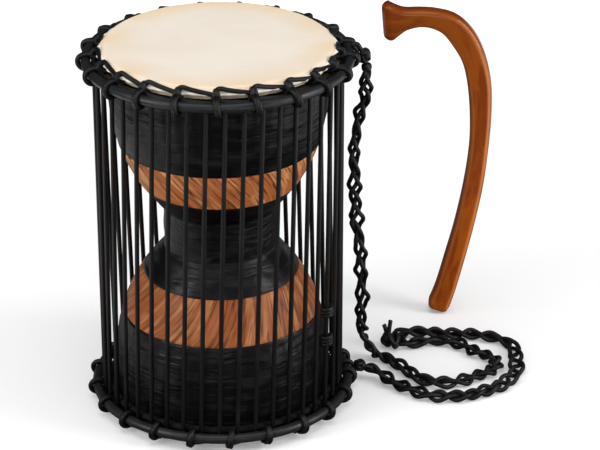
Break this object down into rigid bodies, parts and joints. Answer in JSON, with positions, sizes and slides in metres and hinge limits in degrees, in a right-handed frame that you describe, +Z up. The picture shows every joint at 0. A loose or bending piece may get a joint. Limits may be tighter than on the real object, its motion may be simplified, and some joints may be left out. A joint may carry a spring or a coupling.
{
  "type": "hourglass talking drum",
  "caption": "Hourglass tension drum with two rope-laced skin heads, squeezable side cords, braided shoulder strap and a separate hooked wooden beater.",
  "frame": {"origin": "middle of the lower head's flat face, which the drum stands on", "axes": "+Z up along the drum's axis, -Y towards the viewer of the picture, +X to the side with the strap and the beater"},
  "size_m": [0.3506, 0.249, 0.3],
  "materials": {
    "carved_wood": "satin black stain with two bands of bare wood",
    "goat_skin": "matt natural skin",
    "cane": "plain",
    "coated_steel": "satin dark grey coating",
    "braided_rope": "black braided polyester",
    "varnished_wood": "satin varnish"
  },
  "bodies": {
    "drum": {"shell": "carved_wood", "top_head_skin": "goat_skin", "bottom_head_skin": "goat_skin", "top_flesh_hoop": "cane", "bottom_flesh_hoop": "cane", "top_ring": "coated_steel", "bottom_ring": "coated_steel", "top_rim_loops": "braided_rope", "bottom_rim_loops": "braided_rope", "top_ring_hitches": "braided_rope", "bottom_ring_hitches": "braided_rope", "cords_front": "braided_rope", "cords_back": "braided_rope", "strap_top_knot": "braided_rope", "strap_bottom_knot": "braided_rope", "strap_hanging": "braided_rope", "strap_coil": "braided_rope", "strap_tails": "braided_rope"},
    "right_upper": {"cords_right_upper": "braided_rope"},
    "right_lower": {"cords_right_lower": "braided_rope", "tie_off_knots": "braided_rope"},
    "left_upper": {"cords_left_upper": "braided_rope"},
    "left_lower": {"cords_left_lower": "braided_rope"},
    "beater": {"beater": "varnished_wood"}
  },
  "joints": [
    {"name": "right_squeeze", "type": "hinge", "parent": "drum", "child": "right_upper", "pos_m": [0.084, 0, 0.2855], "axis": [0, 1, 0], "range_deg": [0, 8], "stiffness_Nm_per_rad": 1.5},
    {"name": "right_bow", "type": "hinge", "parent": "right_upper", "child": "right_lower", "pos_m": [0.0964, 0, 0.149], "axis": [0, 1, 0], "range_deg": [-16.5, 0]},
    {"name": "left_squeeze", "type": "hinge", "parent": "drum", "child": "left_upper", "pos_m": [-0.084, 0, 0.2855], "axis": [0, -1, 0], "range_deg": [0, 8], "stiffness_Nm_per_rad": 1.5},
    {"name": "left_bow", "type": "hinge", "parent": "left_upper", "child": "left_lower", "pos_m": [-0.0964, 0, 0.149], "axis": [0, -1, 0], "range_deg": [-16.5, 0]},
    {"name": "beater_lift", "type": "slide", "parent": "drum", "child": "beater", "axis": [0, 0, 1], "range_m": [0, 0.15]}
  ],
  "couplings": [
    {"joint": "right_bow", "follows": "right_squeeze", "ratio": -2},
    {"joint": "left_bow", "follows": "left_squeeze", "ratio": -2}
  ]
}
